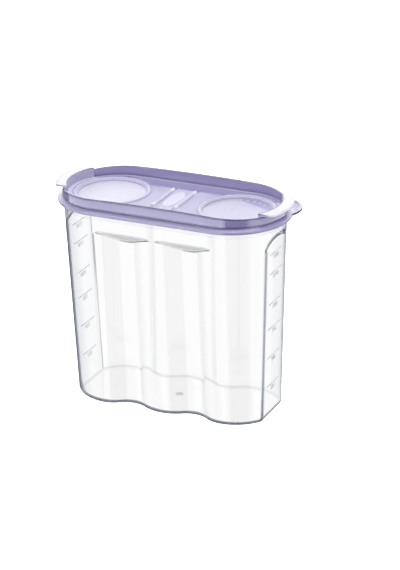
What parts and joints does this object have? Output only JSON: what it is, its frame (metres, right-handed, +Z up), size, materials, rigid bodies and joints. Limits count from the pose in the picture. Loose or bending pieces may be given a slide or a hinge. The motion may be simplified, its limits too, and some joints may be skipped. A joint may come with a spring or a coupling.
{
  "type": "dry food container",
  "caption": "Clear lobed storage container with a tinted lid; round flip flaps with thumb ledges close the pour openings in the lid.",
  "frame": {"origin": "centre of the base, on the surface that it stands on", "axes": "+X along the length, towards the end with the pull tab; -Y towards the front; +Z up"},
  "size_m": [0.1944, 0.0898, 0.175],
  "materials": {
    "clear_plastic": "clear and glossy",
    "lilac_plastic": "translucent and glossy",
    "pale_plastic": "translucent, finely textured"
  },
  "bodies": {
    "container": {"container_body": "clear_plastic"},
    "lid": {"lid_frame": "lilac_plastic", "hinge_bridge": "pale_plastic"},
    "left_flap": {"left_flap": "pale_plastic"},
    "right_flap": {"right_flap": "pale_plastic"}
  },
  "joints": [
    {"name": "lid_lift", "type": "slide", "parent": "container", "child": "lid", "axis": [0, 0, 1], "range_m": [0, 0.06]},
    {"name": "left_flap_hinge", "type": "hinge", "parent": "lid", "child": "left_flap", "pos_m": [-0.00935, 0, 0.16745], "axis": [0, 1, 0], "range_deg": [0, 85]},
    {"name": "right_flap_hinge", "type": "hinge", "parent": "lid", "child": "right_flap", "pos_m": [0.00935, 0, 0.16745], "axis": [0, -1, 0], "range_deg": [0, 85]}
  ]
}
